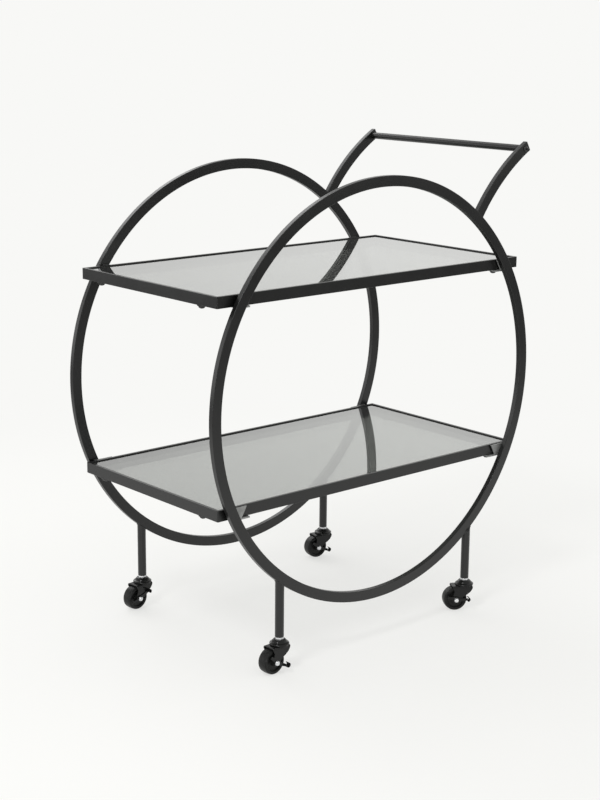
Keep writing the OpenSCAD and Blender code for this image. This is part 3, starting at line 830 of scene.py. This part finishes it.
class CART_OT_shelves(bpy.types.Operator):
    """Makes the two shelf frames, their smoked glass panels and the pads under the glass"""
    bl_idname = "serving_cart.shelves"
    bl_label = "Shelves"

    def rails(self, shelf, sizes):
        """A frame of mitred rails with a rim round the glass and a ledge under it."""
        low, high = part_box(shelf + "_shelf_frame")
        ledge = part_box(shelf + "_glass_pads")[0].z
        rim, wide, edge = sizes.rim, high.z - low.z, sizes.rail_edge
        profile = rounded([
            (0, low.z, edge), (wide, low.z, edge), (wide, ledge, edge), (rim, ledge, LEDGE_EDGE),
            (rim, high.z, RIM_EDGE), (0, high.z, edge)])
        name = shelf + "_shelf_rails"
        mesh = finish_edges(mitred_frame(name, low, high, profile, FRAME_CORNER), name, 0, angle=50)
        put(name, mesh, "cart", "powder_black", shelf + "_shelf_frame")

    def panel(self, shelf, sizes):
        """A glass panel with polished edges, drawn in until it clears the rim by the glass gap."""
        glass = dressed(shelf + "_glass", shelf + "_glass_panel", "smoked_glass", sizes.edge_soft, 3)
        inward = sizes.rim + GLASS_GAP - (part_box(shelf + "_glass")[0].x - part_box(shelf + "_shelf_frame")[0].x)
        for vertex in glass.data.vertices:
            vertex.co.x -= math.copysign(inward, vertex.co.x)
            vertex.co.y -= math.copysign(inward, vertex.co.y)

    def pads(self, shelf, tree):
        """Twelve soft pads under a panel, three in each quarter."""
        low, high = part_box(shelf + "_glass_pads")
        x, y = high.x - PAD_WIDE / 2 - PAD_INSET, high.y - PAD_WIDE / 2 - PAD_INSET
        z = (low.z + high.z) / 2
        points = [(sx * x * px, sy * y * py, z) for px, py in PAD_SPOTS for sx in (-1, 1) for sy in (-1, 1)]
        values = {"Wide": PAD_WIDE, "Thick": high.z - low.z}
        name = shelf + "_soft_pads"
        mesh = run_group(tree, name, values, "clear_rubber", points_mesh(points))
        put(name, finish_edges(mesh, name, 0, angle=50), "cart", "clear_rubber", shelf + "_glass_pads")

    def execute(self, context):
        sizes = context.scene.cart_sizes
        tree = pad_tree()
        for shelf in SHELVES:
            self.rails(shelf, sizes)
            self.panel(shelf, sizes)
            self.pads(shelf, tree)
        return {"FINISHED"}


class CART_OT_brackets(bpy.types.Operator):
    """Makes the zinc-plated brackets that hold the shelves to the rings"""
    bl_idname = "serving_cart.brackets"
    bl_label = "Brackets"

    def execute(self, context):
        soft = context.scene.cart_sizes.edge_soft
        for shelf in SHELVES:
            dressed(shelf + "_brackets", shelf + "_shelf_brackets", "bracket_steel", soft)
        return {"FINISHED"}


class CART_OT_screws(bpy.types.Operator):
    """Makes every screw of the frame with its domed head and hexagon socket, and the washers"""
    bl_idname = "serving_cart.screws"
    bl_label = "Screws"

    def execute(self, context):
        sizes = context.scene.cart_sizes
        tree = screw_tree()
        for shelf in SHELVES:
            for kind in ("bracket", "end"):
                node = shelf + "_" + kind + "_bolts"
                points, length = four_points(node, sizes.screw_head, sizes.screw_high)
                values = {"Head": sizes.screw_head, "High": sizes.screw_high, "Socket": sizes.socket,
                          "Shank": sizes.screw_head / 2, "Length": length}
                name = shelf + "_" + kind + "_screws"
                mesh = run_group(tree, name, values, "black_screws", points_mesh(points, [(0, 0, -1)] * 4))
                put(name, finish_edges(mesh, name, 0, angle=40), "cart", "black_screws", node)
        low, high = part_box("handle_screws")
        head = high.x - low.x
        rise = low.y + RING_Y + TUBE_DEEP / 2
        x, z = (low.x + high.x) / 2, (low.z + high.z) / 2
        points = [(x, low.y - rise, z), (x, high.y + rise, z)]
        values = {"Head": head, "High": -rise, "Socket": sizes.socket, "Shank": head - HANDLE_SHANK_LESS,
                  "Length": TUBE_DEEP + HANDLE_BITE}
        name = "handle_bar_screws"
        mesh = run_group(tree, name, values, "black_screws", points_mesh(points, [(0, -1, 0), (0, 1, 0)]))
        put(name, finish_edges(mesh, name, 0, angle=40), "cart", "black_screws", "handle_screws")
        dressed("end_washers", "shelf_washers", "black_screws", 0.25 * MM)
        return {"FINISHED"}


class CART_OT_casters(bpy.types.Operator):
    """Dresses the four swivel casters: stem, race, fork, axle, wheel and brake lever"""
    bl_idname = "serving_cart.casters"
    bl_label = "Casters"

    def execute(self, context):
        for corner in CORNERS:
            dressed(corner + "_stem", corner + "_threaded_stem", "zinc_plate", 0.35 * MM)
            dressed(corner + "_race", corner + "_swivel_race", "caster_black", 0.25 * MM, angle=50)
            dressed(corner + "_fork", corner + "_stamped_fork", "caster_black", 0.35 * MM, merge=0.15 * MM)
            dressed(corner + "_axle", corner + "_axle_pin", "zinc_plate", 0.5 * MM, 3)
            dressed(corner + "_wheel", corner + "_moulded_wheel", "wheel_black", 0.3 * MM)
            dressed(corner + "_lever", corner + "_brake_lever", "lever_black", 0.3 * MM, merge=0.15 * MM)
        return {"FINISHED"}


class CART_OT_stage(bpy.types.Operator):
    """Sets up the pale floor, the soft light, the world and the camera"""
    bl_idname = "serving_cart.stage"
    bl_label = "Stage"

    def execute(self, context):
        look = context.scene.cart_colours
        scene = context.scene
        scene.view_settings.view_transform = "Standard"
        floor_mesh = bpy.data.meshes.new("pale_floor")
        corners = [(sx * FLOOR_REACH, sy * FLOOR_REACH, 0) for sx, sy in ((-1, -1), (1, -1), (1, 1), (-1, 1))]
        floor_mesh.from_pydata(corners, [], [(0, 1, 2, 3)])
        floor_mesh.materials.append(floor_paint(look))
        floor = bpy.data.objects.new("pale_floor", floor_mesh)
        scene.collection.objects.link(floor)
        lamps = [soft_light(*row) for row in LAMPS]
        keep_out_of_mirror(lamps, [bpy.data.objects[shelf + "_glass_panel"] for shelf in SHELVES])
        scene.world = studio_world(look)
        scene.camera = photo_camera()
        return {"FINISHED"}


def background_rays(s):
    """1 for the rays that should see the plain background: from the camera, a mirror or through glass."""
    path = [s.add("ShaderNodeLightPath", {}, {}, ray) for ray in
            ("Is Camera Ray", "Is Glossy Ray", "Is Transmission Ray")]
    return (path[0] + path[1] + path[2]).clamped()


def floor_paint(look):
    """A pale floor that keeps the cart's soft shadow and turns into the background further out."""
    s = Shader("pale_floor")
    grain = s.noise(60, 3.0)
    tone = s.tint(grain, rgba(look.floor, 0.985), rgba(look.floor))
    matt = s.principled(Base_Color=tone, Roughness=0.9, Specular_IOR_Level=0.0)
    out = s.add("ShaderNodeVectorMath", {"operation": "LENGTH"}, {0: s.place}, "Value")
    mirrored = s.add("ShaderNodeLightPath", {}, {}, "Is Glossy Ray")
    shade = s.tint(mirrored * out.fade(1.2, 3.0), rgba(look.background), rgba(look.background, 0.22))
    glow = s.add("ShaderNodeEmission", {}, {"Color": shade, "Strength": 1.0})
    mask = (0.65 + 0.35 * out.fade(0.75, 1.7)) * background_rays(s)
    return s.finish(s.add("ShaderNodeMixShader", {}, {0: mask, 1: matt, 2: glow}))


def studio_world(look):
    """Plain even light, with the photograph's background behind everything."""
    world = bpy.data.worlds.new("studio")
    world.use_nodes = True
    s = Tree(world.node_tree)
    s.tree.nodes.clear()
    across = s.add("ShaderNodeSeparateXYZ", {}, {0: s.add("ShaderNodeTexCoord", out="Object")}, "X")
    mirrored = s.add("ShaderNodeLightPath", {}, {}, "Is Glossy Ray")
    plain = background_rays(s) * (1.0 - mirrored + mirrored * across.fade(0.45, 0.75))
    shade = s.tint(plain, rgba(look.background, 0.8), rgba(look.background))
    s.end("ShaderNodeOutputWorld", s.add("ShaderNodeBackground", {}, {"Color": shade, "Strength": 1.0}))
    return world


def soft_light(name, place, size, power):
    """A large soft lamp that faces the cart."""
    lamp = bpy.data.lights.new(name, "AREA")
    lamp.shape = "DISK"
    lamp.size = size
    lamp.energy = power
    obj = bpy.data.objects.new(name, lamp)
    obj.location = place
    aim = Vector(LAMP_TARGET) - obj.location
    obj.rotation_euler = aim.to_track_quat("-Z", "Y").to_euler()
    bpy.context.scene.collection.objects.link(obj)
    return obj


def keep_out_of_mirror(lamps, mirrors):
    """The glass mirrors the plain surroundings alone, and no lamp burns out in it from any side."""
    spared = bpy.data.collections.new("glass_without_lamps")
    for mirror in mirrors:
        spared.objects.link(mirror)
    for member in spared.collection_objects:
        member.light_linking.link_state = "EXCLUDE"
    for lamp in lamps:
        lamp.light_linking.receiver_collection = spared


def photo_camera():
    """The photograph's view of the cart."""
    lens = bpy.data.cameras.new("photo_view")
    lens.lens = CAMERA_LENS
    lens.sensor_width = 36
    obj = bpy.data.objects.new("photo_view", lens)
    obj.location = CAMERA_PLACE
    aim = Vector(CAMERA_TARGET) - obj.location
    turn = aim.to_track_quat("-Z", "Y").to_matrix() @ Matrix.Rotation(CAMERA_ROLL, 3, "Z")
    obj.rotation_euler = turn.to_euler()
    bpy.context.scene.collection.objects.link(obj)
    return obj


class CART_PT_panel(bpy.types.Panel):
    """Lists the steps that dress the cart, with its sizes and colours"""
    bl_idname = "CART_PT_panel"
    bl_label = "Ring Serving Cart"
    bl_space_type = "VIEW_3D"
    bl_region_type = "UI"
    bl_category = "Serving Cart"

    def draw(self, context):
        for step in STEPS:
            self.layout.operator(step.bl_idname)
        for group in (context.scene.cart_sizes, context.scene.cart_colours):
            for key in group.bl_rna.properties.keys():
                if key not in ("rna_type", "name"):
                    self.layout.prop(group, key)


STEPS = (CART_OT_rings, CART_OT_handle, CART_OT_shelves, CART_OT_brackets, CART_OT_screws, CART_OT_casters,
         CART_OT_stage)
CLASSES = (CartSizes, CartColours) + STEPS + (CART_PT_panel,)


def register():
    for kind in CLASSES:
        bpy.utils.register_class(kind)
    bpy.types.Scene.cart_sizes = bpy.props.PointerProperty(type=CartSizes)
    bpy.types.Scene.cart_colours = bpy.props.PointerProperty(type=CartColours)


def unregister():
    del bpy.types.Scene.cart_colours
    del bpy.types.Scene.cart_sizes
    for kind in reversed(CLASSES):
        bpy.utils.unregister_class(kind)


def main():
    """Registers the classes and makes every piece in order."""
    register()
    steps = bpy.ops.serving_cart
    steps.rings()
    steps.handle()
    steps.shelves()
    steps.brackets()
    steps.screws()
    steps.casters()
    steps.stage()


if __name__ == "__main__":
    main()
